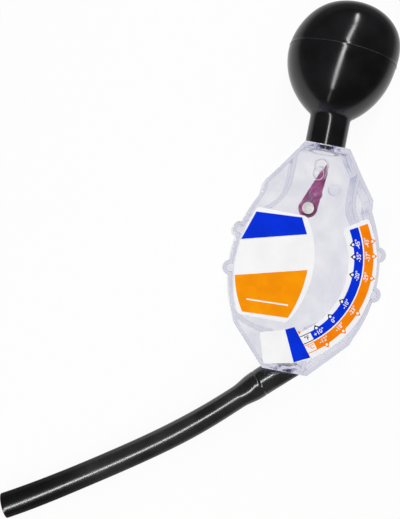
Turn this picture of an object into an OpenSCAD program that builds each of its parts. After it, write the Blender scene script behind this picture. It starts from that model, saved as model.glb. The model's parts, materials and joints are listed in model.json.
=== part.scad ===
// Antifreeze hydrometer: a clear two-shell body with a swinging pointer, a squeeze bulb and a pick-up hose.
// It lies on its back, dial up: X runs across the dial, Y towards the bulb, Z up from the bench.
// Inside lay() the sizes are in the body's own frame: the middle of the dial, with Z = 0 where the shells meet.

/* [Body] */
// Length between the two flat ends
body_len = 108; // [104:1:114]
// Depth of both shells together
body_depth = 24; // [22:0.5:28]
// Rim that the flat ends keep round the bulb's neck
end_lip = 1; // [0.6:0.1:1.4]
// Width at the collar's corner, under the bulb
collar_w = 36; // [34:0.2:38]
// How far the collar's corner lies below the upper end
collar_drop = 11; // [9:0.5:13]
// Width at the shoulder's corner
shoulder_w = 51.4; // [49:0.2:52]
// How far the shoulder's corner lies below the upper end
shoulder_drop = 21.5; // [20:0.5:24]
// Width at the small step under the shoulder
step_w = 52.4; // [52:0.2:54]
// How far the step lies below the upper end
step_drop = 27; // [26:0.5:29]
// Width at both ends of the flanks
flank_w = 56.8; // [55:0.2:60]
// Height of the flanks' upper end above the middle
flank_top = 22.5; // [19:0.5:23]
// Depth of the flanks' lower end below the middle
flank_foot = 33; // [30:0.5:34]
// How far the flanks swell past a straight line
flank_swell = 6.4; // [5:0.2:8]
// Width at the foot's corner
foot_w = 54.8; // [52:0.2:56]
// Depth of the foot's corner below the middle
foot_y = 36; // [35.5:0.5:38]
// Thickness of the outer wall
wall = 1.6; // [1.2:0.1:2.4]
// Thickness of the front and back faces
face = 1.8; // [1.4:0.1:2.6]
// Thickness of the end plates that carry the spigots
end_t = 2.6; // [2:0.1:3.4]

/* [Grips] */
// Radius of the grip bumps on the flanks
grip_r = 3.7; // [3:0.1:4.4]
// Height of the upper bumps above the middle
grip_high = 7.8; // [6:0.2:9]
// Depth of the lower bumps below the middle
grip_low = 10.8; // [9:0.2:13]
// How far the middle of each bump lies inside the flank
grip_sink = 0.8; // [0.4:0.1:1.2]

/* [Chamber] */
// Thickness of the ribs that wall the chamber
rib = 1.6; // [1.2:0.1:2.2]
// Room between the swinging pointer and the throat's ribs
sweep_gap = 0.9; // [0.5:0.1:1.6]
// Radius of the bowl
bowl_r = 35.5; // [33:0.5:37]
// How far the bowl's centre lies left of the middle
bowl_left = 8; // [6:0.5:10]
// How far the bowl's centre lies below the middle
bowl_down = 1; // [0:0.5:3]
// Radius of the curves from the throat into the bowl
flare_r = 20; // [16:0.5:24]
// How far below the upper end the left rib starts to flare
flare_drop = 18; // [16:0.5:20]
// Turn of the left rib before it runs straight to the wall
flare_turn = 50; // [44:1:56]
// Width of the duct between the bowl and the hose
duct_w = 15; // [14:0.5:17]
// Radius of the low post moulded inside the back
post_r = 2.85; // [2:0.05:3.5]
// Height of that post
post_h = 3; // [2:0.5:4]
// How far the post lies right of the middle
post_x = 9.4; // [8:0.2:11]
// How far the post lies below the upper end
post_drop = 18.2; // [16:0.2:20]
// Radius of the round mould marks inside the front
mark_r = 3.2; // [2.6:0.1:3.6]
// How far the upper mark lies below the upper end
mark_drop = 9.7; // [9:0.1:11]
// Distance between the two marks
mark_step = 4; // [3:0.1:5]
// Width of a mark's raised line
mark_w = 0.5; // [0.3:0.1:0.8]
// Height of that line
mark_h = 0.3; // [0.2:0.05:0.5]

/* [Pointer] */
// How far the pivot lies left of the middle
pivot_left = 1; // [0:0.2:2]
// How far the pivot lies below the upper end
pivot_drop = 23.6; // [22:0.2:25]
// Lean of the needle to the right at rest
needle_lean = 13.6; // [5:0.2:20]
// Length from the pivot to the needle's tip
needle_len = 16.2; // [14:0.2:17]
// Length of the arrow point at the tip
arrow_len = 4.4; // [3:0.2:6]
// Width where the arrow point starts
arrow_w = 3.5; // [2.6:0.1:4]
// Width of the tip
tip_w = 0.7; // [0.5:0.1:1]
// Thickness of the pointer
pointer_t = 2; // [1.6:0.1:3]
// Length from the pivot to the middle of the weight
weight_reach = 6.6; // [6.4:0.1:8]
// Diameter of the metal weight
weight_d = 5.8; // [5:0.1:6.2]
// Thickness of the metal weight
weight_t = 3.2; // [2.4:0.1:4]
// Band of plastic round the weight
head_band = 1.6; // [1.2:0.1:2]
// Diameter of the hub and of the shells' bosses
hub_d = 5.6; // [4.4:0.1:6]
// Length of the hub
hub_len = 5; // [4:0.2:7]
// Play between each end of the hub and its boss
hub_play = 0.3; // [0.2:0.05:0.5]
// Diameter of the steel pivot pin
pin_d = 1.6; // [1.2:0.1:2.4]
// Radial play of the hub on its pin
pin_play = 0.05; // [0.03:0.01:0.08]
// Depth of the pin in each boss
pin_seat = 4; // [3:0.5:5]

/* [Bulb] */
// Diameter of the bulb at its seam
bulb_d = 51.8; // [48:0.2:56]
// Radius of the curve from the seam down to the neck
bulb_curve_r = 36; // [33:0.5:40]
// Height of the seam above the body's end
bulb_reach = 45; // [42:0.5:50]
// Thickness of the bulb's rubber
bulb_wall = 2.4; // [1.8:0.1:3.2]
// Thickness of the neck's rubber
neck_wall = 2.2; // [1.8:0.1:3]
// Outer diameter of the spigot inside the neck
neck_spigot_d = 14.8; // [13:0.2:16]
// Bore of that spigot
neck_bore = 11.6; // [9:0.2:12]
// Length of that spigot
neck_spigot_len = 11; // [9:0.5:13]

/* [Hose] */
// Outer diameter of the free hose
hose_d = 11.2; // [10:0.1:12]
// Bore of the hose
hose_bore = 7; // [6:0.1:7.6]
// Slope of the hose's spigot below the dial's level
hose_slope = 42.5; // [40:0.5:47]
// Thickness of the hose's rubber where it is stretched over the spigot
sleeve_wall = 1.8; // [1.5:0.1:2.2]
// Length of the stretched part, along the spigot
sleeve_len = 14; // [13.5:0.5:17]
// Length over which the hose narrows after it
taper_len = 8; // [6:0.5:11]
// Length of the straight start, sleeve and taper included
hose_lead = 34; // [32:1:38]
// Radius of the hose's slight curve
hose_bend_r = 440; // [400:10:480]
// Turn of that curve, up to the open end
hose_bend = 14.9; // [13:0.1:16]
// Bore at the mouth, opened a little for its straight length
mouth_d = 7.2; // [7.1:0.1:8]
// Straight length of the mouth
mouth_len = 12; // [8:1:16]
// Outer diameter of the spigot inside the hose
hose_spigot_d = 9.4; // [8.6:0.1:10]
// Bore of that spigot
spigot_bore = 6.8; // [5.6:0.1:7]
// Length of that spigot
hose_spigot_len = 13; // [11:0.5:13.5]
// Radial gap between the rubber and its spigots
sleeve_fit = 0.02; // [0:0.01:0.05]

/* [Labels] */
// Thickness of the label film
label_t = 0.2; // [0.1:0.05:0.3]
// Height of the main label's upper edge above the middle
main_top = 19.4; // [17.5:0.1:20]
// Depth of the main label's lower edge below the middle
main_foot = 31.3; // [30:0.1:32]
// Width of the main label's upper edge
main_top_w = 23.5; // [21:0.5:26]
// Width of the main label's lower edge
main_foot_w = 23.1; // [21:0.1:25]
// How far the middle of those edges lies left of the dial's middle
main_left = 15.1; // [14:0.1:16]
// How far the main label's left side swells
main_swell_left = 5.6; // [4:0.2:6]
// How far the main label's right side swells
main_swell_right = 7.7; // [6:0.1:9]
// Inner radius of the scale label
scale_in = 36.6; // [35:0.2:38]
// Outer radius of the scale label
scale_out = 49.9; // [46:0.1:50]
// How far the scale's centre lies left of the middle
scale_left = 16.5; // [15.5:0.1:17.5]
// How far the scale's centre lies below the middle
scale_down = 4; // [3:0.2:6]
// Angle of the scale's upper end above the level line
scale_start = 34; // [28:1:36]
// Angle of the scale's lower end below the level line
scale_stop = 58; // [54:1:62]

/* [Hidden] */
$fn = 96;

clear = [0.86, 0.88, 0.96, 0.4];
rubber = [0.07, 0.07, 0.08];
plum = [0.55, 0.2, 0.42];

half = body_depth / 2;
top = body_len / 2;
inside = half - face;
pivot_y = top - pivot_drop;
neck_d = neck_spigot_d + 2 * (sleeve_fit + neck_wall);
end_w = neck_d + 2 * end_lip;
hub_top = hub_len / 2 + hub_play;
head_r = weight_d / 2 + head_band;
// Longer than any cut has to be
reach = 2 * body_len;

// The corners that the notes panel adds to the scale label's lower end
notes = [[3.5, -49], [-10.5, -52], [-14.9, -37.8], [-3.3, -34.6], [0.5, -32.6]];

// The pointer's sweep sets how wide the throat is
throat_right = needle_len - pivot_left + sweep_gap;
throat_left = pivot_left + weight_reach + head_r + sweep_gap;

// The lean that sets both the bulb and the rear shell's lower edge on the bench
bulb_y = top + bulb_reach;
lean_span = bulb_y + top;
lean_drop = half + bulb_curve_r - bulb_d / 2;
lean = asin(bulb_curve_r / norm([lean_span, lean_drop])) - atan2(lean_drop, lean_span);
lift = top * sin(lean) + half * cos(lean);
// The shift that puts the origin under the middle of all but the hose, whose spigot reaches lowest
back_y = bulb_y * cos(lean) + bulb_d / 2;
spigot_dip = hose_spigot_d / 2 * norm([cos(lean) * cos(hose_slope), sin(lean)]);
front_y = (top + hose_spigot_len * sin(hose_slope)) * cos(lean) + spigot_dip;
shift = (front_y - back_y) / 2;

// The hose's open end, from its spigot's foot: along the spigot, and to the side it bends
hose_along = hose_lead + hose_bend_r * sin(hose_bend);
hose_aside = hose_bend_r * (1 - cos(hose_bend));
tip_y = -top - hose_along * sin(hose_slope) + hose_aside * cos(hose_slope);
// The roll about the spigot that lays the open end on the bench
tip_rise = (hose_d / 2 - lift - tip_y * sin(lean)) / cos(lean);
hose_roll = asin(tip_rise / hose_aside);

function arc(c, r, from, to, n) =
    [for (i = [0:n]) let (a = from + (to - from) * i / n) c + r * [cos(a), sin(a)]];

// An arc from p to q that swells by s to the left of the way from p to q
function bow(p, q, s, n) =
    let (d = q - p, l = norm(d), side = [-d[1], d[0]] / l, r = (l * l / 4 + s * s) / (2 * s))
    let (c = (p + q) / 2 + side * (s - r), base = atan2(side[1], side[0]), turn = asin(l / 2 / r))
    arc(c, r, base + turn, base - turn, n);

function reversed(p) = [for (i = [len(p) - 1:-1:0]) p[i]];

function inward(d) = [d[1], -d[0]] / norm(d);

// A clockwise outline with every edge moved inwards by d
function inset(p, d) =
    [for (i = [0:len(p) - 1])
        let (a = p[(i + len(p) - 1) % len(p)], b = p[i], c = p[(i + 1) % len(p)])
        let (m = inward(b - a), n = inward(c - b))
        b + d * (m + n) / (1 + m * n)];

flank = bow([flank_w / 2, flank_top], [flank_w / 2, -flank_foot], flank_swell, 16);
flank_span = (flank_top + flank_foot) / 2;
flank_r = (flank_span * flank_span + flank_swell * flank_swell) / (2 * flank_swell);
function flank_x(y) =
    flank_w / 2 + flank_swell - flank_r
    + sqrt(flank_r * flank_r - pow(y - (flank_top - flank_foot) / 2, 2));

right_side = concat(
    [[end_w / 2, top], [collar_w / 2, top - collar_drop]],
    [[shoulder_w / 2, top - shoulder_drop], [step_w / 2, top - step_drop]],
    flank,
    [[foot_w / 2, -foot_y], [end_w / 2, -top]]
);
outline = concat(right_side, [for (p = reversed(right_side)) [-p[0], p[1]]]);

bowl_c = [-bowl_left, -bowl_down];
flare_dx = throat_right + flare_r + bowl_left;
flare_c = [throat_right + flare_r, sqrt(pow(bowl_r + flare_r, 2) - flare_dx * flare_dx) - bowl_down];
flare_a = atan2(flare_c[1] + bowl_down, flare_dx);
left_c = [-throat_left - flare_r, top - flare_drop];
left_end = left_c + flare_r * [cos(flare_turn), -sin(flare_turn)];
// The bowl's arc and the left rib run on past the left wall, which cuts them off
bowl_end = -130;
past_wall = flank_w / 2 + 2 * flank_swell;
bowl_foot = bowl_c + bowl_r * [cos(bowl_end), sin(bowl_end)];
chamber = concat(
    [[throat_right, top]],
    arc(flare_c, flare_r, 180, 180 + flare_a, 6),
    arc(bowl_c, bowl_r, flare_a, bowl_end, 24),
    [[-past_wall, bowl_foot[1]], [-past_wall, left_end[1] - (past_wall + left_end[0]) / tan(flare_turn)]],
    arc(left_c, flare_r, -flare_turn, 0, 6),
    [[-throat_left, top]]
);

main_outline = concat(
    bow([main_top_w / 2, main_top], [main_foot_w / 2, -main_foot], main_swell_right, 14),
    bow([-main_foot_w / 2, -main_foot], [-main_top_w / 2, main_top], main_swell_left, 14)
);
scale_c = [-scale_left, -scale_down];
scale_outline = concat(
    arc(scale_c, scale_out, scale_start, -scale_stop, 24),
    notes,
    arc(scale_c, scale_in, -scale_stop, scale_start, 24)
);

module lay() {
    translate([0, shift, lift]) rotate([lean, 0, 0]) children();
}

module upper_half() {
    intersection() {
        children();
        translate([-reach, -reach, 0]) cube([2 * reach, 2 * reach, reach]);
    }
}

module grip_plan(r) {
    for (side = [-1, 1], y = [grip_high, -grip_low])
        translate([side * (flank_x(y) - grip_sink), y]) circle(r);
}

module body_plan() {
    polygon(outline);
    grip_plan(grip_r);
}

module cavity_plan() {
    intersection() {
        polygon(inset(outline, wall));
        square([reach, body_len - 2 * end_t], center = true);
    }
    grip_plan(grip_r - wall);
}

module chamber_plan(grow) {
    polygon(inset(chamber, -grow));
    translate([-duct_w / 2 - grow, -top]) square([duct_w + 2 * grow, top - bowl_down]);
}

module rib_plan() {
    intersection() {
        polygon(outline);
        difference() {
            chamber_plan(rib);
            chamber_plan(0);
        }
    }
}

module at_bulb() {
    translate([0, bulb_y, 0]) rotate([-90, 0, 0]) children();
}

module at_hose() {
    translate([0, -top, 0]) rotate([0, 0, 180 + hose_slope]) rotate([0, 90, 0]) children();
}

// Only what lies below the inner face of the lower end plate
module below_end() {
    intersection() {
        children();
        translate([-reach / 2, -top + end_t - reach, -reach / 2]) cube(reach);
    }
}

module spigots() {
    translate([0, top - end_t, 0]) rotate([-90, 0, 0]) cylinder(d = neck_spigot_d, h = end_t + neck_spigot_len);
    below_end() at_hose() translate([0, 0, -end_t]) cylinder(d = hose_spigot_d, h = end_t + hose_spigot_len);
}

module spigot_bores() {
    translate([0, top - end_t - 1, 0]) rotate([-90, 0, 0]) cylinder(d = neck_bore, h = reach / 2);
    below_end() at_hose() translate([0, 0, -hose_lead]) cylinder(d = spigot_bore, h = 2 * hose_lead);
}

// One shell, with its face up and its open side on Z = 0
module shell() {
    difference() {
        union() {
            difference() {
                linear_extrude(half) body_plan();
                linear_extrude(inside) cavity_plan();
            }
            linear_extrude(half - face / 2) rib_plan();
            upper_half() spigots();
            translate([-pivot_left, pivot_y, hub_top]) cylinder(d = hub_d, h = half - face / 2 - hub_top);
        }
        spigot_bores();
        translate([-pivot_left, pivot_y, 0]) cylinder(d = pin_d, h = hub_top + pin_seat);
    }
}

module mould_mark() {
    difference() {
        cylinder(r = mark_r, h = mark_h + face / 2);
        cylinder(r = mark_r - mark_w, h = mark_h);
    }
}

module front_shell() {
    color(clear) lay() {
        shell();
        for (drop = [mark_drop, mark_drop + mark_step])
            translate([-pivot_left, top - drop, inside - mark_h]) mould_mark();
    }
}

module rear_shell() {
    color(clear) lay() {
        mirror([0, 0, 1]) shell();
        translate([post_x, top - post_drop, -inside - face / 2]) cylinder(r = post_r, h = post_h + face / 2);
    }
}

module at_pivot() {
    translate([-pivot_left, pivot_y, 0]) rotate([0, 0, -needle_lean]) children();
}

module pivot_pin() {
    pin_len = 2 * (hub_top + pin_seat);
    color("silver") lay() at_pivot() cylinder(d = pin_d, h = pin_len, center = true);
}

module needle_plan() {
    polygon([
        [head_r, -weight_reach], [arrow_w / 2, needle_len - arrow_len], [tip_w / 2, needle_len],
        [-tip_w / 2, needle_len], [-arrow_w / 2, needle_len - arrow_len], [-head_r, -weight_reach],
    ]);
    translate([0, -weight_reach]) circle(head_r);
}

module pointer() {
    color(plum) lay() at_pivot() difference() {
        union() {
            translate([0, 0, -pointer_t / 2]) linear_extrude(pointer_t) needle_plan();
            cylinder(d = hub_d, h = hub_len, center = true);
            translate([0, -weight_reach, 0]) cylinder(r = head_r, h = weight_t, center = true);
        }
        cylinder(d = pin_d + 2 * pin_play, h = hub_len + 1, center = true);
        translate([0, -weight_reach, 0]) cylinder(d = weight_d, h = weight_t + 1, center = true);
    }
}

module pointer_weight() {
    color("silver") lay() at_pivot() translate([0, -weight_reach, 0])
        cylinder(d = weight_d, h = weight_t, center = true);
}

// The bulb's own line from seam to neck, thinned by t
module bulb_swell(t) {
    intersection() {
        translate([bulb_d / 2 - bulb_curve_r, 0]) circle(bulb_curve_r - t);
        translate([0, -bulb_reach]) square([bulb_d, bulb_reach]);
    }
}

module bulb_base() {
    neck_in = neck_spigot_d / 2 + sleeve_fit;
    swell_end = sqrt(pow(bulb_curve_r, 2) - pow(bulb_curve_r - bulb_d / 2 + neck_d / 2, 2));
    color(rubber) lay() at_bulb() rotate_extrude() difference() {
        union() {
            intersection() {
                bulb_swell(0);
                translate([0, -swell_end]) square([bulb_d, swell_end]);
            }
            translate([0, -bulb_reach]) square([neck_d / 2, bulb_reach - swell_end + bulb_wall]);
        }
        intersection() {
            bulb_swell(bulb_wall);
            translate([0, -swell_end]) square([bulb_d, swell_end]);
        }
        translate([0, -bulb_reach]) square([neck_in, bulb_reach]);
    }
}

module bulb_crown() {
    color(rubber) lay() at_bulb() rotate_extrude() intersection() {
        difference() {
            circle(d = bulb_d);
            circle(d = bulb_d - 2 * bulb_wall);
        }
        square(bulb_d);
    }
}

// The stretched start, from its slanted end on the plate to where the hose has its own size
module hose_sleeve() {
    bore_r = hose_spigot_d / 2 + sleeve_fit;
    sleeve_r = bore_r + sleeve_wall;
    taper_end = sleeve_len + taper_len;
    rotate_extrude() polygon([
        [bore_r, -hose_lead], [sleeve_r, -hose_lead], [sleeve_r, sleeve_len], [hose_d / 2, taper_end],
        [hose_d / 2, hose_lead], [hose_bore / 2, hose_lead], [hose_bore / 2, taper_end], [bore_r, sleeve_len],
    ]);
}

// The curved stretch, from the end of the sleeve to the mouth
module hose_curve() {
    translate([0, -hose_bend_r, hose_lead]) rotate(120, [1, 1, 1]) rotate_extrude(angle = hose_bend)
        translate([hose_bend_r, 0]) difference() {
            circle(d = hose_d);
            circle(d = hose_bore);
        }
}

module hose_mouth() {
    translate([0, -hose_bend_r, hose_lead]) rotate([hose_bend, 0, 0])
        translate([0, hose_bend_r, -mouth_len]) cylinder(d = mouth_d, h = 2 * mouth_len);
}

module pickup_hose() {
    color(rubber) lay() intersection() {
        translate([-reach, -top - 2 * reach, -reach]) cube(2 * reach);
        at_hose() rotate([0, 0, -hose_roll]) difference() {
            union() {
                hose_sleeve();
                hose_curve();
            }
            hose_mouth();
        }
    }
}

module main_label() {
    color("white") lay() translate([-main_left, 0, half]) linear_extrude(label_t) polygon(main_outline);
}

module scale_label() {
    color("orange") lay() translate([0, 0, half]) linear_extrude(label_t) polygon(scale_outline);
}

front_shell();
rear_shell();
pivot_pin();
pointer();
pointer_weight();
bulb_base();
bulb_crown();
pickup_hose();
main_label();
scale_label();
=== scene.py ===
import json
import math
import bpy
from mathutils import Matrix, Vector


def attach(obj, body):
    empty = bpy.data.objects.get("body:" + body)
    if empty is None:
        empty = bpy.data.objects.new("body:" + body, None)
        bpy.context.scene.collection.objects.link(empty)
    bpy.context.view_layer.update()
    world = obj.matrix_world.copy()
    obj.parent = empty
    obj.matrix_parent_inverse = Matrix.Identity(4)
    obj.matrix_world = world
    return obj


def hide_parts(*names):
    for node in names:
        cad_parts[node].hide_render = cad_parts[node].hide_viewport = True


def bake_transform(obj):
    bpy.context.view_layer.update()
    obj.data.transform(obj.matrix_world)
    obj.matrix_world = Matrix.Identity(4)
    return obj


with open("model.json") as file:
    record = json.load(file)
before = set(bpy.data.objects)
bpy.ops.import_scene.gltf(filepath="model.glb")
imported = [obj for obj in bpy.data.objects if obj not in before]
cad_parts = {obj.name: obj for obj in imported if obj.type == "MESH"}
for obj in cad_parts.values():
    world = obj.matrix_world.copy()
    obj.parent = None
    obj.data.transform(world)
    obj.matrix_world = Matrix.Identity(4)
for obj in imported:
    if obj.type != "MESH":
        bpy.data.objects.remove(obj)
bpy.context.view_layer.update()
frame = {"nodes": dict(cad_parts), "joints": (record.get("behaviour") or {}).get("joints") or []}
nodes = frame["nodes"]
scene = bpy.context.scene
scene.view_settings.view_transform = "Standard"

mm = 0.001
swing = next(j for j in frame["joints"] if j["name"] == "pointer_swing")

# the body leans on the bench: its own frame has u across, v towards the bulb, w out of the dial
dial = {"pivotU": -1.0, "pivotV": 30.4, "faceW": 12.0, "filmTop": 12.2, "topV": 54.0}
leanAngle = math.atan2(-swing["axis"][1], swing["axis"][2])
pivotTurn = Matrix.Rotation(leanAngle, 4, "X")
pivotSpot = pivotTurn @ Vector((dial["pivotU"], dial["pivotV"], 0)) * mm
bodyFrame = Matrix.Translation(Vector(swing["pos_m"]) - pivotSpot) @ pivotTurn


def onBody(u, v, w):
    return bodyFrame @ Vector((u * mm, v * mm, w * mm))


def alongBody(u, v, w):
    return (pivotTurn @ Vector((u, v, w))).normalized()


def easedShare(value, start, stop):
    # 0 at the start and 1 at the stop, with soft ends
    t = min(max((value - start) / (stop - start), 0), 1)
    return t * t * (3 - 2 * t)


def quarterTurn(count):
    return [math.pi / 2 * i / count for i in range(count + 1)]


def deselectAll():
    if bpy.context.object and bpy.context.object.mode != "OBJECT":
        bpy.ops.object.mode_set(mode="OBJECT")
    bpy.ops.object.select_all(action="DESELECT")


def makeActive(piece):
    deselectAll()
    piece.select_set(True)
    bpy.context.view_layer.objects.active = piece


def meshPiece(name, points, faces, edges=()):
    data = bpy.data.meshes.new(name)
    data.from_pydata(points, list(edges), faces)
    data.update()
    piece = bpy.data.objects.new(name, data)
    scene.collection.objects.link(piece)
    makeActive(piece)
    return piece


def applyAll(piece):
    makeActive(piece)
    for modifier in list(piece.modifiers):
        bpy.ops.object.modifier_apply(modifier=modifier.name)


def settle(piece):
    # from the body's own frame, in metres, to its place on the bench, kept in the mesh
    makeActive(piece)
    piece.matrix_world = bodyFrame @ piece.matrix_world
    bpy.ops.object.transform_apply(location=True, rotation=True, scale=True)


def tidyMesh(piece, merge=0.00001):
    makeActive(piece)
    bpy.ops.object.mode_set(mode="EDIT")
    bpy.ops.mesh.select_all(action="SELECT")
    bpy.ops.mesh.remove_doubles(threshold=merge)
    bpy.ops.mesh.normals_make_consistent(inside=False)
    bpy.ops.object.mode_set(mode="OBJECT")


def smoothBy(piece, degrees):
    makeActive(piece)
    bpy.ops.object.shade_smooth_by_angle(angle=math.radians(degrees))


def pickNone(kind):
    # leaves nothing picked in the active piece, ready for picking vertices, edges or faces
    bpy.ops.object.mode_set(mode="EDIT")
    bpy.ops.mesh.select_mode(type=kind)
    bpy.ops.mesh.select_all(action="DESELECT")
    bpy.ops.object.mode_set(mode="OBJECT")


def joined(pieces):
    makeActive(pieces[0])
    for piece in pieces:
        piece.select_set(True)
    if len(pieces) > 1:
        bpy.ops.object.join()
    return pieces[0]


ringSmooth = 60  # degrees


def ringPiece(name, radius, line, sides, spot, around=8, turn=(0, 0, 0)):
    # a thin ring in the body's own frame
    deselectAll()
    bpy.ops.mesh.primitive_torus_add(
        major_segments=sides, minor_segments=around,
        major_radius=radius * mm, minor_radius=line * mm,
        location=tuple(c * mm for c in spot), rotation=turn)
    piece = bpy.context.object
    piece.name = name
    return piece


def wear(piece, material):
    piece.data.materials.clear()
    piece.data.materials.append(material)


# shared effects

def newGroup(name, inputs, outputs):
    group = bpy.data.node_groups.new(name, "ShaderNodeTree")
    for label, value in inputs:
        socket = group.interface.new_socket(label, in_out="INPUT", socket_type="NodeSocketFloat")
        socket.default_value = value
    for label, kind in outputs:
        group.interface.new_socket(label, in_out="OUTPUT", socket_type=kind)
    return group, group.nodes.new("NodeGroupInput"), group.nodes.new("NodeGroupOutput")


def makeGrainGroup():
    # fine grain for bump, and broad clouds for colour and gloss
    group, put, get = newGroup(
        "mouldGrain",
        [("Grain Size", 900.0), ("Cloud Size", 40.0)],
        [("Grain", "NodeSocketFloat"), ("Clouds", "NodeSocketFloat")],
    )
    link = group.links.new
    where = group.nodes.new("ShaderNodeTexCoord")
    fine = group.nodes.new("ShaderNodeTexNoise")
    fine.inputs["Detail"].default_value = 3
    broad = group.nodes.new("ShaderNodeTexNoise")
    broad.inputs["Detail"].default_value = 4
    for node, size in ((fine, "Grain Size"), (broad, "Cloud Size")):
        link(where.outputs["Object"], node.inputs["Vector"])
        link(put.outputs[size], node.inputs["Scale"])
    link(fine.outputs["Fac"], get.inputs["Grain"])
    link(broad.outputs["Fac"], get.inputs["Clouds"])
    return group


mouldGrain = makeGrainGroup()


def newMaterial(name):
    material = bpy.data.materials.new(name)
    material.use_nodes = True
    tree = material.node_tree
    shader = tree.nodes["Principled BSDF"]
    return material, tree, shader


def addGrain(tree, grainSize, cloudSize):
    grain = tree.nodes.new("ShaderNodeGroup")
    grain.node_tree = mouldGrain
    grain.inputs["Grain Size"].default_value = grainSize
    grain.inputs["Cloud Size"].default_value = cloudSize
    return grain


def feed(tree, socket, value):
    # another node's output, a colour or a plain number
    if isinstance(value, bpy.types.NodeSocket):
        tree.links.new(value, socket)
    elif isinstance(value, tuple):
        socket.default_value = (*value, 1)
    else:
        socket.default_value = value


def spread(tree, value, low, high, start=0.3, stop=0.7):
    # maps a mask to a range of values
    node = tree.nodes.new("ShaderNodeMapRange")
    node.inputs["From Min"].default_value = start
    node.inputs["From Max"].default_value = stop
    node.inputs["To Min"].default_value = low
    node.inputs["To Max"].default_value = high
    tree.links.new(value, node.inputs["Value"])
    return node.outputs["Result"]


def patchMask(tree, grain):
    # the clouds with firmer borders
    return spread(tree, grain.outputs["Clouds"], 0, 1, 0.36, 0.64)


def tint(tree, mask, first, second):
    node = tree.nodes.new("ShaderNodeMix")
    node.data_type = "RGBA"
    feed(tree, node.inputs["Factor"], mask)
    feed(tree, node.inputs["A"], first)
    feed(tree, node.inputs["B"], second)
    return node.outputs["Result"]


def mathNode(tree, operation, first, second):
    node = tree.nodes.new("ShaderNodeMath")
    node.operation = operation
    feed(tree, node.inputs[0], first)
    feed(tree, node.inputs[1], second)
    return node.outputs[0]


def mixShaders(tree, mask, first, second):
    node = tree.nodes.new("ShaderNodeMixShader")
    tree.links.new(mask, node.inputs["Fac"])
    tree.links.new(first, node.inputs[1])
    tree.links.new(second, node.inputs[2])
    return node.outputs["Shader"]


def addBump(tree, shader, height, strength, depth):
    bump = tree.nodes.new("ShaderNodeBump")
    bump.inputs["Strength"].default_value = strength
    bump.inputs["Distance"].default_value = depth
    tree.links.new(height, bump.inputs["Height"])
    tree.links.new(bump.outputs["Normal"], shader.inputs["Normal"])
    return bump


def plainMaterial(
    name, first, second, gloss, grainSize, cloudSize, bumpDepth,
    metallic=0.0, bumpStrength=0.3, shine=0.5,
):
    material, tree, shader = newMaterial(name)
    grain = addGrain(tree, grainSize, cloudSize)
    tree.links.new(tint(tree, patchMask(tree, grain), first, second), shader.inputs["Base Color"])
    tree.links.new(spread(tree, grain.outputs["Clouds"], *gloss), shader.inputs["Roughness"])
    shader.inputs["Metallic"].default_value = metallic
    shader.inputs["Specular IOR Level"].default_value = shine
    addBump(tree, shader, grain.outputs["Grain"], bumpStrength, bumpDepth)
    return material


# two colours, gloss, grain and cloud size, bump depth, and for metal how metallic and how bumpy
finishes = {
    "bulb": ((0.004, 0.004, 0.0045), (0.010, 0.010, 0.0112), (0.12, 0.18), 1500, 60, 0.00001),
    "flash": ((0.004, 0.004, 0.004), (0.07, 0.07, 0.068), (0.45, 0.60), 1800, 110, 0.00002),
    # the next finish is a painted shadow: the dark edge beside the weight slug
    "slugShadow": ((0.005, 0.002, 0.003), (0.04, 0.010, 0.022), (0.20, 0.35), 1800, 500, 0.00001),
    # the next finish is frost made whiter, partly a painted highlight on the marks' edges
    "frost": ((0.80, 0.80, 0.82), (0.95, 0.95, 0.96), (0.40, 0.60), 2200, 400, 0.00001),
    "film": ((0.92, 0.92, 0.93), (0.97, 0.97, 0.97), (0.50, 0.60), 2500, 90, 0.000006),
    "blue": ((0.0005, 0.027, 0.64), (0.001, 0.033, 0.76), (0.50, 0.60), 3000, 160, 0.000006),
    "orange": ((0.93, 0.215, 0.0005), (1.0, 0.255, 0.001), (0.50, 0.60), 3000, 160, 0.000006),
    "amber": ((0.93, 0.285, 0.0005), (1.0, 0.335, 0.001), (0.50, 0.60), 3000, 160, 0.000006),
    "white": ((0.90, 0.90, 0.91), (0.97, 0.97, 0.97), (0.50, 0.60), 3000, 160, 0.000006),
    "ink": ((0.008, 0.008, 0.03), (0.014, 0.014, 0.045), (0.50, 0.60), 3000, 160, 0.000006),
    "weight": ((0.50, 0.48, 0.41), (0.80, 0.77, 0.68), (0.42, 0.58), 2600, 1500, 0.0001, 0.3, 0.8),
    "pin": ((0.30, 0.17, 0.23), (0.46, 0.30, 0.37), (0.30, 0.42), 2400, 300, 0.00001, 1.0),
}
matt = 0.03  # shine of the films and inks

bulbRubber = plainMaterial("bulbRubber", *finishes["bulb"])
flashRubber = plainMaterial("flashRubber", *finishes["flash"])
paintedSlugShadow = plainMaterial("paintedSlugShadow", *finishes["slugShadow"])
frostedEdgeHighlight = plainMaterial("frostedEdgeHighlight", *finishes["frost"])
labelFilm = plainMaterial("labelFilm", *finishes["film"], shine=matt)
blueInk = plainMaterial("blueInk", *finishes["blue"], shine=matt)
orangeInk = plainMaterial("orangeInk", *finishes["orange"], shine=matt)
amberInk = plainMaterial("amberInk", *finishes["amber"], shine=matt)
whiteInk = plainMaterial("whiteInk", *finishes["white"], shine=matt)
darkInk = plainMaterial("darkInk", *finishes["ink"], shine=matt)
weightMetal = plainMaterial("weightMetal", *finishes["weight"])
pinSteel = plainMaterial("pinSteel", *finishes["pin"])

clear = {
    "tint": (1.0, 1.0, 1.0), "haze": (0.89, 0.89, 0.93), "grain": 700, "clouds": 100,
    "ior": 1.5, "shine": 0.08, "gloss": (0.0, 0.04), "bump": 0.1, "bumpDeep": 0.0008,
    "softEdge": 0.45, "edgeSamples": 6, "absorb": (0.70, 0.698, 0.80), "density": 42,
    # the last two: how many turns a ray makes in the walls before the plastic shows a painted violet
    # glow, and that glow's colour
    "through": (0.93, 0.93, 0.96), "turns": 5.5, "paintedGlow": (0.48, 0.49, 0.70),
}


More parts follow.
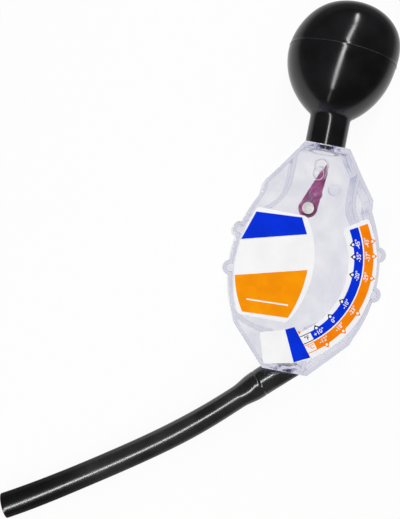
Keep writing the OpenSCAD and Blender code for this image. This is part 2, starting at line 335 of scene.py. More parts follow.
def makeClearPlastic():
    material, tree, shader = newMaterial("clearPlastic")
    grain = addGrain(tree, clear["grain"], clear["clouds"])
    haze = spread(tree, grain.outputs["Clouds"], 0, 1)
    tree.links.new(tint(tree, haze, clear["haze"], clear["tint"]), shader.inputs["Base Color"])
    shader.inputs["Transmission Weight"].default_value = 1
    shader.inputs["IOR"].default_value = clear["ior"]
    shader.inputs["Specular IOR Level"].default_value = clear["shine"]
    tree.links.new(spread(tree, grain.outputs["Clouds"], *clear["gloss"]), shader.inputs["Roughness"])
    bump = addBump(tree, shader, grain.outputs["Clouds"], clear["bump"], clear["bumpDeep"])
    # moulded edges are a little round
    soft = tree.nodes.new("ShaderNodeBevel")
    soft.samples = clear["edgeSamples"]
    soft.inputs["Radius"].default_value = clear["softEdge"] * mm
    tree.links.new(soft.outputs["Normal"], bump.inputs["Normal"])
    absorb = tree.nodes.new("ShaderNodeVolumeAbsorption")
    feed(tree, absorb.inputs["Color"], clear["absorb"])
    absorb.inputs["Density"].default_value = clear["density"]
    tree.links.new(absorb.outputs["Volume"], tree.nodes["Material Output"].inputs["Volume"])
    # lamps shine through to the pointer and the bench
    rays = tree.nodes.new("ShaderNodeLightPath")
    window = tree.nodes.new("ShaderNodeBsdfTransparent")
    feed(tree, window.inputs["Color"], clear["through"])
    lit = mixShaders(tree, rays.outputs["Is Shadow Ray"], shader.outputs["BSDF"], window.outputs["BSDF"])
    # painted glow: where a ray has turned in the walls more often than that, the plastic glows violet in
    # place of the light that the bounce limit leaves out
    paintedGlow = tree.nodes.new("ShaderNodeEmission")
    feed(tree, paintedGlow.inputs["Color"], clear["paintedGlow"])
    deep = mathNode(tree, "GREATER_THAN", rays.outputs["Ray Depth"], clear["turns"])
    whole = mixShaders(tree, deep, lit, paintedGlow.outputs["Emission"])
    tree.links.new(whole, tree.nodes["Material Output"].inputs["Surface"])
    return material


plum = {
    "dark": (0.17, 0.020, 0.092), "light": (0.44, 0.082, 0.25), "grain": 900, "clouds": 260,
    "gloss": (0.16, 0.30), "through": 0.25, "ior": 1.5, "bump": 0.2, "bumpDeep": 0.00003,
}


def makePlumPlastic():
    material, tree, shader = newMaterial("plumPlastic")
    grain = addGrain(tree, plum["grain"], plum["clouds"])
    colour = tint(tree, patchMask(tree, grain), plum["dark"], plum["light"])
    tree.links.new(colour, shader.inputs["Base Color"])
    tree.links.new(spread(tree, grain.outputs["Clouds"], *plum["gloss"]), shader.inputs["Roughness"])
    shader.inputs["Transmission Weight"].default_value = plum["through"]
    shader.inputs["IOR"].default_value = plum["ior"]
    addBump(tree, shader, grain.outputs["Grain"], plum["bump"], plum["bumpDeep"])
    return material


clearPlastic = makeClearPlastic()
plumPlastic = makePlumPlastic()
print("materials made")

# camera, square to the dial as in the picture

view = {
    "u": -48.6, "v": -9.9, "away": 430.0, "roll": 10.9,
    "lens": 63.9, "sensor": 36, "nearest": 0.01, "furthest": 20,
}


def makeCamera():
    turn = math.radians(view["roll"])
    right = alongBody(math.cos(turn), math.sin(turn), 0)
    up = alongBody(-math.sin(turn), math.cos(turn), 0)
    back = alongBody(0, 0, 1)
    spot = onBody(view["u"], view["v"], dial["faceW"] + view["away"])
    data = bpy.data.cameras.new("benchCamera")
    data.lens = view["lens"]
    data.sensor_width = view["sensor"]
    data.clip_start = view["nearest"]
    data.clip_end = view["furthest"]
    camera = bpy.data.objects.new("benchCamera", data)
    scene.collection.objects.link(camera)
    rows = Matrix((right, up, back)).transposed().to_4x4()
    camera.matrix_world = Matrix.Translation(spot) @ rows
    scene.camera = camera


makeCamera()
print("camera placed")

# hose: a stretched sleeve on the spigot, a straight lead and one wide curve down to the bench

hose = {
    "slope": 42.5, "lead": 34.0, "bendR": 440.0, "bend": 14.9, "outD": 11.2, "boreD": 7.2,
    "widths": (
        (0.0, 13.25), (12.2, 13.3), (12.7, 12.75), (13.2, 13.35), (15.2, 13.2),
        (25.0, 11.0), (58.0, 11.45), (100.0, 11.45), (148.4, 12.0)),
    "sway": 0.55, "swayHalf": 61.5, "swayFrom": 10.0, "lift": 1.3,
    "spigotD": 9.44, "spigotDeep": 13.4, "footEdge": 0.45, "footRise": 1.0, "footRings": (1, 2, 3),
    "ringsFrom": 10.0, "fineTo": 16.0, "fineStep": 0.25, "ringStep": 1.0, "sides": 96, "smooth": 50,
    "lip": 0.3, "lipGap": 0.4, "boreEdge": 0.4, "boreRings": (6.0, 12.0, 18.0, 26.0), "routeSteps": 30,
}
hoseLength = hose["lead"] + hose["bendR"] * math.radians(hose["bend"])


def hoseFrame():
    # rolled about the spigot until the open end rests on the bench
    slope = math.radians(hose["slope"])
    along = hose["lead"] + hose["bendR"] * math.sin(math.radians(hose["bend"]))
    aside = hose["bendR"] * (1 - math.cos(math.radians(hose["bend"])))
    tipV = -dial["topV"] - along * math.sin(slope) + aside * math.cos(slope)
    lift = bodyFrame.translation.z / mm
    rise = (hose["outD"] / 2 - lift - tipV * math.sin(leanAngle)) / math.cos(leanAngle)
    roll = math.asin(rise / aside)
    turn = Matrix.Rotation(math.pi + slope, 4, "Z") @ Matrix.Rotation(math.pi / 2, 4, "Y")
    return Matrix.Translation((0, -dial["topV"], 0)) @ turn @ Matrix.Rotation(-roll, 4, "Z")


def hosePoint(distance):
    # middle of the hose and its direction, that far along from the spigot's foot
    if distance <= hose["lead"]:
        return Vector((0, 0, distance)), Vector((0, 0, 1))
    a = (distance - hose["lead"]) / hose["bendR"]
    spot = Vector((0, hose["bendR"] * (math.cos(a) - 1), hose["lead"] + hose["bendR"] * math.sin(a)))
    return spot, Vector((0, -math.sin(a), math.cos(a)))


def hoseRadius(distance):
    # stretched over the spigot, narrow behind it and a little wider at the open end
    for (start, wide), (stop, wideNext) in zip(hose["widths"], hose["widths"][1:]):
        if distance <= stop:
            return (wide + (wideNext - wide) * easedShare(distance, start, stop)) / 2
    return hose["widths"][-1][1] / 2


def hoseWander(distance, place):
    # rubber never lies in a true curve: it sways a little, and its wider end lies on the bench
    if distance < hose["swayFrom"]:
        return Vector((0, 0, 0))
    spot, ahead = hosePoint(distance)
    side = (place.to_3x3() @ ahead).cross(Vector((0, 0, 1))).normalized()
    amount = -hose["sway"] * math.sin(math.pi * (distance - hose["swayFrom"]) / hose["swayHalf"])
    rise = 0.0
    if distance > hose["lead"]:
        rise = hose["lift"] * max(0.0, hoseRadius(distance) - hose["outD"] / 2)
    return side * amount + Vector((0, 0, rise))


def hoseProfile():
    # distance along and radius: out of the spigot's seat, down the outside, round the lip, up the bore
    sleeve = hoseRadius(0.0)
    half = hoseRadius(hoseLength)
    seat = hose["spigotD"] / 2
    bore = hose["boreD"] / 2
    lip, edge = hose["lip"], hose["boreEdge"]
    steps = [(hose["spigotDeep"], seat), (0.0, seat)]
    steps += [(0.0, sleeve - hose["footEdge"]), (hose["footRise"], sleeve)]
    distance = hose["ringsFrom"]
    while distance < hoseLength - lip - hose["lipGap"]:
        steps.append((distance, hoseRadius(distance)))
        distance += hose["fineStep"] if distance < hose["fineTo"] else hose["ringStep"]
    for a in quarterTurn(4):
        steps.append((hoseLength - lip * (1 - math.sin(a)), half - lip * (1 - math.cos(a))))
    for a in quarterTurn(3):
        steps.append((hoseLength - edge * (1 - math.cos(a)), bore + edge * (1 - math.sin(a))))
    for deep in hose["boreRings"]:
        steps.append((hoseLength - deep, bore))
    return steps


rubber = {
    "first": (0.012, 0.012, 0.0128), "second": (0.026, 0.026, 0.0272), "dipped": (0.003, 0.003, 0.0033),
    "dipFrom": 22.0, "dipTo": 44.0, "gloss": (0.18, 0.235), "shine": 1.0,
    "grain": 1800, "clouds": 70, "bump": 0.3, "bumpDeep": 0.000001,
}


def makeHoseRubber():
    # coolant has stained the end that is dipped
    material, tree, shader = newMaterial("hoseRubber")
    grain = addGrain(tree, rubber["grain"], rubber["clouds"])
    fresh = tint(tree, patchMask(tree, grain), rubber["first"], rubber["second"])
    where = tree.nodes.new("ShaderNodeTexCoord")
    away = tree.nodes.new("ShaderNodeVectorMath")
    away.operation = "DISTANCE"
    away.inputs[1].default_value = bodyFrame @ (hoseFrame() @ hosePoint(hoseLength)[0] * mm)
    tree.links.new(where.outputs["Object"], away.inputs[0])
    dry = spread(tree, away.outputs["Value"], 0, 1, rubber["dipFrom"] * mm, rubber["dipTo"] * mm)
    tree.links.new(tint(tree, dry, rubber["dipped"], fresh), shader.inputs["Base Color"])
    tree.links.new(spread(tree, grain.outputs["Clouds"], *rubber["gloss"]), shader.inputs["Roughness"])
    shader.inputs["Specular IOR Level"].default_value = rubber["shine"]
    addBump(tree, shader, grain.outputs["Grain"], rubber["bump"], rubber["bumpDeep"])
    return material


hoseRubber = makeHoseRubber()


def makeHose():
    place = hoseFrame()
    points, faces = [], []
    sides = hose["sides"]
    steps = hoseProfile()
    for index, (distance, radius) in enumerate(steps):
        spot, ahead = hosePoint(distance)
        across = Vector((1, 0, 0))
        other = ahead.cross(across)
        wander = hoseWander(distance, place)
        for k in range(sides):
            a = 2 * math.pi * k / sides
            point = wander + place @ (spot + radius * (math.cos(a) * across + math.sin(a) * other))
            if index in hose["footRings"]:
                # the rings at the foot are cut along the body's flat end
                way = place.to_3x3() @ ahead
                point = point + way * ((-dial["topV"] - point.y) / way.y + distance)
            points.append(tuple(point * mm))
    for ring in range(len(steps) - 1):
        here, there = ring * sides, (ring + 1) * sides
        for k in range(sides):
            n = (k + 1) % sides
            faces.append((here + k, here + n, there + n, there + k))
    last = (len(steps) - 1) * sides
    faces.append(tuple(last + k for k in range(sides)))
    faces.append(tuple(range(sides)))
    piece = meshPiece("pickupHose", points, faces)
    tidyMesh(piece)
    settle(piece)
    smoothBy(piece, hose["smooth"])
    wear(piece, hoseRubber)
    route = []
    for i in range(hose["routeSteps"] + 1):
        spot, ahead = hosePoint(hoseLength * i / hose["routeSteps"])
        route.append(bodyFrame @ (place @ spot * mm))
    return piece, route


hosePiece, hoseRoute = makeHose()
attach(hosePiece, "body")
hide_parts("pickup_hose")
print("hose laid, length", round(hoseLength, 1), "mm")

# bulb: one spun skin over both halves, with the mould's flash round the seam

bulb = {
    "outD": 51.8, "curveR": 36.0, "reach": 45.0, "neckD": 19.24, "wall": 2.4, "full": 0.91,
    "gap": 0.05, "footIn": 2.0, "cuff": 0.35, "neckShort": 0.8, "curveShort": 0.3,
    "flash": 0.16, "flashTip": 0.168, "flashRoot": 0.448, "rootIn": (0.01, 0.03), "flashClear": 0.56,
    "lean": 3.0, "leanFrom": 15.0, "leanFull": 40.0, "sink": 0.5, "aside": 1.7, "asideFull": 63.0,
    "lineR": 0.13, "lineOut": 0.08, "neckRings": 6, "rings": 32, "spin": 128, "smooth": 40,
}


def bulbProfile():
    # radius and height above the body's end, from the neck's foot over the crown
    half = bulb["outD"] / 2
    off = bulb["curveR"] - half
    neck = bulb["neckD"] / 2
    low = math.sqrt(bulb["curveR"] ** 2 - (off + neck) ** 2)
    seam = bulb["reach"]
    gap, cuff = bulb["gap"], bulb["cuff"]
    profile = [(neck - bulb["footIn"], gap), (neck - cuff, gap), (neck, cuff + gap)]
    for i in range(1, bulb["neckRings"] + 1):
        profile.append((neck, (seam - low - bulb["neckShort"]) * i / bulb["neckRings"]))
    start = math.asin((low - bulb["curveShort"]) / bulb["curveR"])
    for i in range(bulb["rings"] + 1):
        a = start * (1 - i / bulb["rings"])
        drop = bulb["curveR"] * math.sin(a)
        if drop > bulb["flashClear"]:
            profile.append((bulb["curveR"] * math.cos(a) - off, seam - drop))
    tip, root = bulb["flashTip"], bulb["flashRoot"]
    lowIn, highIn = bulb["rootIn"]
    out = half + bulb["flash"]
    profile += [(half - lowIn, seam - root), (out, seam - tip)]
    profile += [(out, seam + tip), (half - highIn, seam + root)]
    full = bulb["full"]
    for a in quarterTurn(bulb["rings"])[1:]:
        if half * math.sin(a) > bulb["flashClear"]:
            profile.append((half * math.cos(a) ** full, seam + half * math.sin(a) ** full))
    return profile


def leanOver(piece):
    # the soft crown has settled a little to the right, and the seam with it
    seam = bulb["reach"]
    for point in piece.data.vertices:
        u = point.co.x / mm
        h = point.co.y / mm - dial["topV"]
        share = easedShare(h, bulb["leanFrom"], bulb["leanFull"])
        turn = share * math.radians(bulb["lean"])
        moveU = turn * (h - seam) + bulb["aside"] * easedShare(h, bulb["leanFull"], bulb["asideFull"])
        moveV = -turn * u - share * bulb["sink"]
        point.co.x += moveU * mm
        point.co.y += moveV * mm


def makeBulb():
    profile = bulbProfile()
    points = [(r * mm, (dial["topV"] + h) * mm, 0) for r, h in profile]
    points[-1] = (0, points[-1][1], 0)
    piece = meshPiece("squeezeBulb", points, [], [(i, i + 1) for i in range(len(points) - 1)])
    bpy.ops.object.mode_set(mode="EDIT")
    bpy.ops.mesh.select_all(action="SELECT")
    bpy.ops.mesh.spin(steps=bulb["spin"], angle=2 * math.pi, center=(0, 0, 0), axis=(0, 1, 0))
    bpy.ops.object.mode_set(mode="OBJECT")
    tidyMesh(piece)
    wall = piece.modifiers.new("wall", "SOLIDIFY")
    wall.thickness = bulb["wall"] * mm
    wall.offset = -1
    applyAll(piece)
    leanOver(piece)
    settle(piece)
    smoothBy(piece, bulb["smooth"])
    wear(piece, bulbRubber)
    return piece


def makeSeam():
    # the thin line of flash left by the mould
    radius = bulb["outD"] / 2 + bulb["lineOut"]
    spot = (0, dial["topV"] + bulb["reach"], 0)
    piece = ringPiece("bulbSeam", radius, bulb["lineR"], bulb["spin"], spot, turn=(math.pi / 2, 0, 0))
    bpy.ops.object.transform_apply(location=True, rotation=True, scale=True)
    leanOver(piece)
    settle(piece)
    smoothBy(piece, ringSmooth)
    wear(piece, flashRubber)
    return piece


bulbPiece = makeBulb()
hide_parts("bulb_base", "bulb_crown")
seamPiece = makeSeam()
for piece in (bulbPiece, seamPiece):
    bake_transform(piece)
print("bulb spun")

# clear body: copies of both shells welded into one moulding, with no seam left inside the plastic

weld = {"merge": 0.01, "flat": 0.999, "near": 0.004, "smooth": 12, "weight": 100}


def makeClearBody():
    halves = []
    for name in ("front_shell", "rear_shell"):
        half = bpy.data.objects.new("clearBody", nodes[name].data.copy())
        scene.collection.objects.link(half)
        halves.append(half)
    piece = joined(halves)
    bpy.ops.object.mode_set(mode="EDIT")
    bpy.ops.mesh.select_all(action="SELECT")
    bpy.ops.mesh.remove_doubles(threshold=weld["merge"] * mm)
    bpy.ops.object.mode_set(mode="OBJECT")
    pickNone("FACE")
    toBody = bodyFrame.inverted()
    outward = alongBody(0, 0, 1)
    for face in piece.data.polygons:
        high = abs((toBody @ face.center).z)
        face.select = high < weld["near"] * mm and abs(face.normal.dot(outward)) > weld["flat"]
    bpy.ops.object.mode_set(mode="EDIT")
    bpy.ops.mesh.delete(type="FACE")
    bpy.ops.object.mode_set(mode="OBJECT")
    smoothBy(piece, weld["smooth"])
    # large faces keep their flatness
    flat = piece.modifiers.new("flat", "WEIGHTED_NORMAL")
    flat.mode = "FACE_AREA"
    flat.weight = weld["weight"]
    flat.keep_sharp = True
    applyAll(piece)
    wear(piece, clearPlastic)
    return piece


clearBody = makeClearBody()
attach(clearBody, "body")
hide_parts("front_shell", "rear_shell")
print("shells welded")

# the marks inside the shells: frosted rings, made whiter than frost alone as a painted highlight for the
# light their edges catch and bend

marks = {
    "line": 0.11, "sides": 64,
    "upperMark": (-2.4, 44.3, 10.35, 2.95),  # u, v, w and radius
    "lowerMark": (-2.2, 40.0, 10.35, 2.95),
    "postMark": (9.4, 35.8, -7.32, 2.7),
}


def makeMark(name):
    u, v, w, r = marks[name]
    piece = ringPiece(name, r, marks["line"], marks["sides"], (u, v, w))
    settle(piece)
    smoothBy(piece, ringSmooth)
    wear(piece, frostedEdgeHighlight)
    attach(piece, "body")


for name in ("upperMark", "lowerMark", "postMark"):
    makeMark(name)
print("marks frosted")

# films: copies of the labels, with each corner rounded as it was cut

cut = {"flat": 1, "near": 0.2, "steps": 6, "smooth": 30}
films = {
    "main_label": {
        "piece": "mainFilm", "slot": "label_film",
        "corners": [(-26.85, 19.4, 0.8), (-3.35, 19.4, 1.6), (-3.55, -31.3, 1.0), (-26.65, -31.3, 0.8)],
    },
    "scale_label": {
        "piece": "scaleFilm", "slot": "scale_film",
        "corners": [(13.84, 16.47, 2.4), (24.87, 23.9, 1.2), (-14.9, -37.8, 0.8), (-10.5, -52.0, 1.0)],
    },
}


def makeFilm(name):
    film = films[name]
    piece = bpy.data.objects.new(film["piece"], nodes[name].data.copy())
    scene.collection.objects.link(piece)
    makeActive(piece)
    bpy.ops.object.mode_set(mode="EDIT")
    bpy.ops.mesh.select_mode(type="EDGE")
    bpy.ops.mesh.select_all(action="SELECT")
    bpy.ops.mesh.remove_doubles(threshold=weld["merge"] * mm)
    bpy.ops.mesh.dissolve_limited(angle_limit=math.radians(cut["flat"]))
    toBody = bodyFrame.inverted()
    for u, v, radius in film["corners"]:
        bpy.ops.mesh.select_all(action="DESELECT")
        bpy.ops.object.mode_set(mode="OBJECT")
        near = []
        for point in piece.data.vertices:
            spot = toBody @ point.co / mm
            near.append(math.hypot(spot.x - u, spot.y - v) < cut["near"])
        for edge in piece.data.edges:
            edge.select = near[edge.vertices[0]] and near[edge.vertices[1]]
        bpy.ops.object.mode_set(mode="EDIT")
        bpy.ops.mesh.bevel(offset=radius * mm, segments=cut["steps"], affect="EDGES")
    bpy.ops.object.mode_set(mode="OBJECT")
    smoothBy(piece, cut["smooth"])
    wear(piece, labelFilm)
    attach(piece, "body")
    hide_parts(name)


for name in films:
    makeFilm(name)
print("films cut")

# pointer and pin keep their solids

wear(nodes["pointer"], plumPlastic)
wear(nodes["pivot_pin"], pinSteel)

# a painted shadow beside the slug: a dark half ring round it on its lower right
slugShadow = {"r": 3.16, "line": 0.3, "w": 1.45, "facing": -45, "share": 0.02, "sides": 72, "around": 10}
weight = {
    "r": 2.9, "thick": 3.2, "reach": 6.6, "lean": 13.6, "edge": 0.18, "edgeSteps": 3,
    "flat": 0.99, "rim": 0.35, "slope": 0.2, "dish": 0.12, "sides": 72, "smooth": 35,
}


def weightSpot(w):
    # in the pointer's head
    a = math.radians(weight["lean"])
    u = dial["pivotU"] - math.sin(a) * weight["reach"]
    v = dial["pivotV"] - math.cos(a) * weight["reach"]
    return Vector((u, v, w))


def makeSlugShadow():
    # painted shadow: a dark half ring on the lower right of the slug, where its shade falls on the
    # pointer's head
    spot = weightSpot(slugShadow["w"])
    piece = ringPiece("slugShadowLine", slugShadow["r"], slugShadow["line"], slugShadow["sides"], spot, slugShadow["around"])
    pickNone("VERT")
    facing = math.radians(slugShadow["facing"])
    for point in piece.data.vertices:
        reach = point.co.x * math.cos(facing) + point.co.y * math.sin(facing)
        point.select = reach < slugShadow["share"] * slugShadow["r"] * mm
    bpy.ops.object.mode_set(mode="EDIT")
    bpy.ops.mesh.delete(type="VERT")
    bpy.ops.mesh.select_all(action="SELECT")
    bpy.ops.mesh.fill_holes(sides=0)
    bpy.ops.object.mode_set(mode="OBJECT")
    settle(piece)
    smoothBy(piece, ringSmooth)
    wear(piece, paintedSlugShadow)
    return piece


def makeWeight():
    # a slug with a rounded edge and a slightly dished face
    deselectAll()
    bpy.ops.mesh.primitive_cylinder_add(
        vertices=weight["sides"], radius=weight["r"] * mm, depth=weight["thick"] * mm,
        location=weightSpot(0) * mm)
    piece = bpy.context.object
    piece.name = "weightSlug"
    bevel = piece.modifiers.new("edge", "BEVEL")
    bevel.width = weight["edge"] * mm
    bevel.segments = weight["edgeSteps"]
    applyAll(piece)
    pickNone("FACE")
    for face in piece.data.polygons:
        face.select = abs(face.normal.z) > weight["flat"]
    bpy.ops.object.mode_set(mode="EDIT")
    bpy.ops.mesh.inset(thickness=weight["rim"] * mm, use_individual=True)
    bpy.ops.mesh.inset(thickness=weight["slope"] * mm, depth=-weight["dish"] * mm, use_individual=True)
    bpy.ops.object.mode_set(mode="OBJECT")
    settle(piece)
    smoothBy(piece, weight["smooth"])
    wear(piece, weightMetal)
    return piece


weightPiece = makeWeight()
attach(weightPiece, "pointer")
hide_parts("pointer_weight")
# the painted shadow beside the slug rides with the pointer
slugShadowPiece = makeSlugShadow()
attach(slugShadowPiece, "pointer")
print("pointer dressed")

# printing on the two films

ink = {"lift": 0.004, "thick": 0.03, "step": 0.012}
scale = {
    "u": -16.5, "v": -3.0, "blueIn": 39.15, "blueOut": 43.3, "orangeIn": 43.9, "orangeOut": 48.1,
    "top": 30.3, "blueFoot": -51.0, "orangeFoot": -51.9, "boxFoot": -58.6, "line": 0.36,
    "blueMarks": [
        ("-45°", 20.0), ("-35°", 11.6), ("-20°", -0.7),
        ("-10°", -20.5), ("0°", -33.5), ("+10°", -45.8),
    ],
    "orangeMarks": [
        ("-43°", 20.1), ("-37°", 11.8), ("-29°", -0.5),
        ("-23°", -21.6), ("-18°", -34.1), ("-12°", -46.0),
    ],
    "blueText": 41.4, "orangeText": 45.6, "figure": 2.75, "bold": 0.016, "unit": -54.6, "unitOut": 0.2,
    "kiteTip": 1.7, "kiteWide": 1.42, "kiteBack": 0.5, "dot": 0.62, "dotOut": 0.1, "dotSides": 16,
    "bandSteps": 48, "lineSteps": 8,
    "wedge": [(-3.4, -34.5), (0.6, -32.5), (10.6, -45.1), (3.4, -48.8)],
    "flag": [(2.3, -34.0), (4.0, -34.2), (3.6, -35.6)],
}


def inkFoot(layer):
    return dial["filmTop"] + ink["lift"] + ink["step"] * layer


def printed(name, outlines, material, layer):
    # thin ink laid on the film: outlines are lists of (u, v) in millimetres
    points, faces = [], []
    w = inkFoot(layer)
    for outline in outlines:
        area = 0
        for (ax, ay), (bx, by) in zip(outline, outline[1:] + outline[:1]):
            area += ax * by - bx * ay
        # all faces look out of the dial before the ink gets its thickness
        loop = outline if area > 0 else outline[::-1]
        first = len(points)
        points += [(u * mm, v * mm, w * mm) for u, v in loop]
        faces.append(tuple(range(first, len(points))))
    piece = meshPiece(name, points, faces)
    thick = piece.modifiers.new("ink", "SOLIDIFY")
    thick.thickness = ink["thick"] * mm
    thick.offset = 1
    applyAll(piece)
    settle(piece)
    wear(piece, material)
    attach(piece, "body")
    return piece


def arcPoints(cu, cv, r, start, stop, count):
    turn = [math.radians(start + (stop - start) * i / count) for i in range(count + 1)]
    return [(cu + r * math.cos(a), cv + r * math.sin(a)) for a in turn]


def bandOutline(inner, outer, start, stop, count):
    there = arcPoints(scale["u"], scale["v"], outer, start, stop, count)
    back = arcPoints(scale["u"], scale["v"], inner, stop, start, count)
    return there + back


def atScale(r, angle):
    a = math.radians(angle)
    return scale["u"] + r * math.cos(a), scale["v"] + r * math.sin(a)


def kiteOutline(r, angle, inward):
    # a corner that points away from the band
    u, v = atScale(r, angle)
    out = math.radians(angle + (180 if inward else 0))
    tip, wide, back = scale["kiteTip"], scale["kiteWide"], scale["kiteBack"]
    shape = [(tip, 0), (0, wide), (-back, 0), (0, -wide)]
    return [
        (u + x * math.cos(out) - y * math.sin(out), v + x * math.sin(out) + y * math.cos(out))
        for x, y in shape
    ]


def dotOutline(r, angle):
    u, v = atScale(r, angle)
    sides = scale["dotSides"]
    return arcPoints(u, v, scale["dot"], 0, 360 * (sides - 1) / sides, sides - 1)


def figures(name, marks, r, material, layer):
    # figures read up along the band, with their heads to the middle
    parts = []
    for text, angle in marks:
        u, v = atScale(r, angle)
        deselectAll()
        bpy.ops.object.text_add()
        piece = bpy.context.object
        piece.data.body = text
        piece.data.size = scale["figure"] * mm
        piece.data.offset = scale["bold"] * scale["figure"] * mm
        piece.data.align_x = "CENTER"
        piece.data.align_y = "CENTER"
        piece.data.resolution_u = 3
        piece.data.extrude = ink["thick"] * mm / 2
        piece.location = (u * mm, v * mm, (inkFoot(layer) + ink["thick"] / 2) * mm)
        piece.rotation_euler = (0, 0, math.radians(angle + 90))
        bpy.ops.object.convert(target="MESH")
        parts.append(bpy.context.object)
    piece = joined(parts)
    piece.name = name
    bpy.ops.object.transform_apply(location=True, rotation=True, scale=True)
    settle(piece)
    wear(piece, material)
    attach(piece, "body")
    return piece


def unitLines(inner, outer, foot):
    # a band runs on as two lines round the place that names its unit
    edges = [(inner, inner + scale["line"]), (outer - scale["line"], outer)]
    return [bandOutline(low, high, foot, scale["boxFoot"], scale["lineSteps"]) for low, high in edges]


def printScale():
    blueIn, blueOut, blueFoot = scale["blueIn"], scale["blueOut"], scale["blueFoot"]
    orangeIn, orangeOut, orangeFoot = scale["orangeIn"], scale["orangeOut"], scale["orangeFoot"]
    blueBand = bandOutline(blueIn, blueOut, scale["top"], blueFoot, scale["bandSteps"])
    orangeBand = bandOutline(orangeIn, orangeOut, scale["top"], orangeFoot, scale["bandSteps"])
    printed("scaleBlue", [blueBand], blueInk, 0)
    printed("scaleOrange", [orangeBand], orangeInk, 0)
    printed("unitLinesBlue", unitLines(blueIn, blueOut, blueFoot), darkInk, 0)
    printed("unitLinesOrange", unitLines(orangeIn, orangeOut, orangeFoot), orangeInk, 0)
    printed("scaleWedge", [scale["wedge"]], blueInk, 1)
    printed("scaleFlag", [scale["flag"]], orangeInk, 0)
    blueAngles = [angle for text, angle in scale["blueMarks"]]
    orangeAngles = [angle for text, angle in scale["orangeMarks"]]
    printed("kitesDark", [kiteOutline(blueIn, a, True) for a in blueAngles], darkInk, 1)
    printed("kitesOrange", [kiteOutline(orangeOut, a, False) for a in orangeAngles], orangeInk, 1)
    dots = [dotOutline(blueIn - scale["dotOut"], a) for a in blueAngles]
    dots += [dotOutline(orangeOut + scale["dotOut"], a) for a in orangeAngles]
    printed("kiteDots", dots, whiteInk, 2)
    figures("figuresBlue", scale["blueMarks"], scale["blueText"], whiteInk, 1)
    figures("figuresOrange", scale["orangeMarks"], scale["orangeText"], whiteInk, 1)
    unit, out = scale["unit"], scale["unitOut"]
    figures("unitF", [("°F", unit)], scale["blueText"] - out, darkInk, 0)
    figures("unitC", [("°C", unit)], scale["orangeText"] + out, orangeInk, 0)


printScale()

mainPrint = {
    "blue": [(-27.0, 17.1), (-5.5, 18.4), (-1.8, 11.1), (-31.6, 3.1)],
    "orange": [(1.6, -5.2), (-3.2, -28.9), (-24.8, -30.0), (-31.3, -13.9)],
    "swell": (1.2, 0.8),
    "rule": [(-23.8, -23.9), (-4.2, -23.1)],
    "ruleWide": 0.65,
}


def bowed(start, stop, swell, count=12):
    # a side that swells by that much to the left of its way
    (ax, ay), (bx, by) = start, stop
    lx, ly = bx - ax, by - ay
    length = math.hypot(lx, ly)
    sideX, sideY = -ly / length, lx / length
    line = []
    for i in range(count + 1):
        t = i / count
        bulge = 4 * swell * t * (1 - t)
        line.append((ax + lx * t + sideX * bulge, ay + ly * t + sideY * bulge))
    return line


def printMain():
    printed("panelBlue", [mainPrint["blue"]], blueInk, 0)
    upRight, footRight, footLeft, upLeft = mainPrint["orange"]
    right = bowed(upRight, footRight, mainPrint["swell"][0])
    left = bowed(footLeft, upLeft, mainPrint["swell"][1])
    printed("panelOrange", [right + left], amberInk, 0)
    (ax, ay), (bx, by) = mainPrint["rule"]
    wide = mainPrint["ruleWide"] / 2
    rule = [(ax, ay - wide), (bx, by - wide), (bx, by + wide), (ax, ay + wide)]
    printed("panelRule", [rule], whiteInk, 1)


printMain()
print("labels printed")

# bench and studio

studio = {
    "floor": 3.0, "floorDrop": 0.0004, "white": 0.86,
    "strip": {"width": 0.05, "length": 1.5, "above": 480.0, "left": 20.0, "turn": 9.0, "power": 3.55},
    "ends": {"far": 750.0, "height": 0.4, "middle": 290.0, "upper": 0.85, "lower": 0.1},
    "soft": 0.20, "mirrored": 0.06, "seenShare": 0.93, "throughShare": 0.97, "mirrorFloor": 0.85,
    "fadeFrom": 0.06, "fadeTo": 0.20,
}


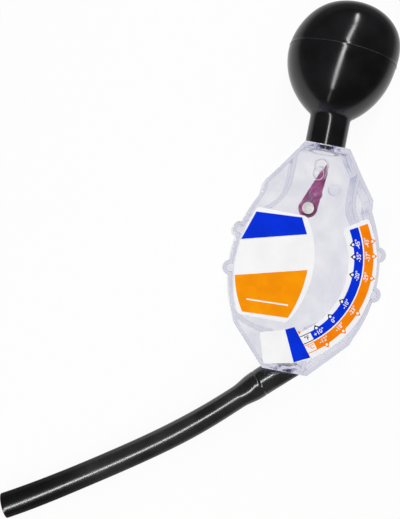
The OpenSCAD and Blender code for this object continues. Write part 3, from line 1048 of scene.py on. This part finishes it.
def makeFloor():
    deselectAll()
    bpy.ops.mesh.primitive_plane_add(size=studio["floor"], location=(0, 0, -studio["floorDrop"]))
    floor = bpy.context.object
    floor.name = "bench"
    material, tree, shader = newMaterial("benchWhite")
    tree.nodes.remove(shader)
    link = tree.links.new
    paint = tree.nodes.new("ShaderNodeBsdfDiffuse")
    feed(tree, paint.inputs["Color"], (studio["white"],) * 3)
    glow = tree.nodes.new("ShaderNodeEmission")
    # the camera sees it white, and through the clear body too; a mirrored floor is dimmer
    rays = tree.nodes.new("ShaderNodeLightPath")
    direct = mathNode(tree, "ADD", rays.outputs["Is Camera Ray"], rays.outputs["Transmission Depth"])
    direct.node.use_clamp = True
    where = tree.nodes.new("ShaderNodeTexCoord")
    away = tree.nodes.new("ShaderNodeVectorMath")
    away.operation = "LENGTH"
    link(where.outputs["Object"], away.inputs[0])
    fade = spread(
        tree, away.outputs["Value"], studio["mirrorFloor"], studio["mirrored"],
        studio["fadeFrom"], studio["fadeTo"])
    fade.node.interpolation_type = "SMOOTHSTEP"
    link(mathNode(tree, "MAXIMUM", direct, fade), glow.inputs["Strength"])
    most = 0.0
    for name, part in (
        ("Is Camera Ray", studio["seenShare"]), ("Is Glossy Ray", studio["seenShare"]),
        ("Is Transmission Ray", studio["throughShare"]),
    ):
        share = mathNode(tree, "MULTIPLY", rays.outputs[name], part)
        most = mathNode(tree, "MAXIMUM", most, share)
    mix = mixShaders(tree, most, paint.outputs["BSDF"], glow.outputs["Emission"])
    link(mix, tree.nodes["Material Output"].inputs["Surface"])
    wear(floor, material)


def makeLamp(name, shape, width, length, spot, back, side, power):
    data = bpy.data.lights.new(name, "AREA")
    data.shape = shape
    data.size = width
    data.size_y = length
    data.energy = power
    lamp = bpy.data.objects.new(name, data)
    scene.collection.objects.link(lamp)
    along = side.normalized()
    back = back.normalized()
    rows = Matrix((along.cross(back), along, back)).transposed().to_4x4()
    lamp.matrix_world = Matrix.Translation(spot) @ rows
    # the clear walls don't pipe the lamp to the camera
    lamp.visible_transmission = False
    return lamp


def makeStudio():
    strip = studio["strip"]
    turn = math.radians(strip["turn"])
    side = alongBody(math.sin(turn), math.cos(turn), 0)
    spot = onBody(view["u"] - strip["left"], view["v"], dial["faceW"] + strip["above"])
    back = alongBody(0, 0, 1)
    makeLamp("stripLamp", "RECTANGLE", strip["width"], strip["length"], spot, back, side, strip["power"])
    # the strip goes on down to the bench at both ends, so the bulb mirrors it from end to end
    ends = studio["ends"]
    for name, way, power in (("upperLamp", 1, ends["upper"]), ("lowerLamp", -1, ends["lower"])):
        reach = ends["far"] * way
        u = view["u"] - strip["left"] + math.sin(turn) * reach
        v = view["v"] + math.cos(turn) * reach
        spot = onBody(u, v, ends["middle"])
        makeLamp(name, "ELLIPSE", strip["width"], ends["height"], spot, side * way, back, power)
    world = bpy.data.worlds.new("studio")
    scene.world = world
    world.use_nodes = True
    tree = world.node_tree
    sky = tree.nodes["Background"]
    sky.inputs["Color"].default_value = (1, 1, 1, 1)
    rays = tree.nodes.new("ShaderNodeLightPath")
    level = spread(tree, rays.outputs["Is Glossy Ray"], studio["soft"], studio["mirrored"], 0, 1)
    seen = mathNode(tree, "MAXIMUM", level, rays.outputs["Is Camera Ray"])
    tree.links.new(seen, sky.inputs["Strength"])


makeFloor()
makeStudio()
print("studio lit")
